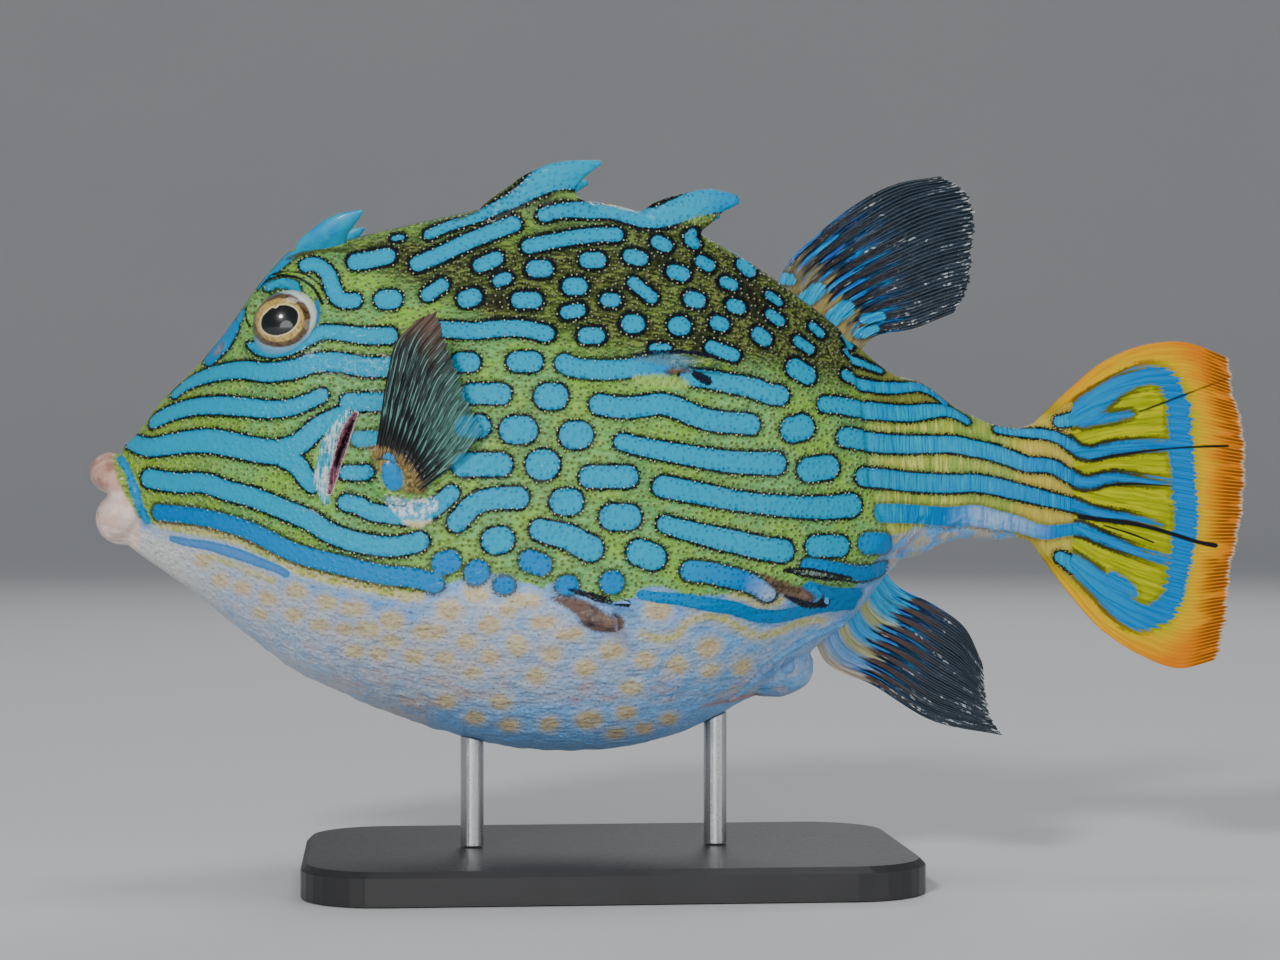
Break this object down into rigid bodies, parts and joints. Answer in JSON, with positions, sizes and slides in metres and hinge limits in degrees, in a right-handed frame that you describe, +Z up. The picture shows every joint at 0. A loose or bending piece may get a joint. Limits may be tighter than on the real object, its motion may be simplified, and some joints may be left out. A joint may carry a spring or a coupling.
{
  "type": "shaws cowfish model",
  "caption": "Life-size still model of a boxy reef fish with brow horns, flank spines, raised fins, rayed tail and striped skin, held by rods on a flat base.",
  "frame": {"origin": "on the floor under the middle of the whole model's box", "axes": "+Z up, the head points to -X, the fish's left side faces -Y"},
  "size_m": [0.1813, 0.0596, 0.1102],
  "materials": {
    "fish_skin": "wet skin, olive green with blue stripes and spots edged in black, pale blue belly",
    "lip": "moist, pinkish beige",
    "eye": "clear and glossy over a black pupil and a gold ring",
    "horn": "wet skin over bone, bright blue",
    "rayed_fin": "thin dark membrane with fine rays, blue at the root",
    "tail_fin": "orange margin, olive yellow centre and blue bands, finely rayed",
    "stand_base": "satin black paint",
    "stand_rod": "fine brushed"
  },
  "bodies": {
    "root": {"head": "fish_skin", "carapace": "fish_skin", "caudal_peduncle": "fish_skin", "lip_upper": "lip", "lip_lower": "lip", "eye_left": "eye", "eye_right": "eye", "horn_left": "horn", "horn_right": "horn", "dorsal_fin": "rayed_fin", "anal_fin": "rayed_fin", "pectoral_fin_left": "rayed_fin", "pectoral_fin_right": "rayed_fin", "tail_fin": "tail_fin", "stand_base": "stand_base", "stand_rod_front": "stand_rod", "stand_rod_rear": "stand_rod"}
  },
  "joints": []
}
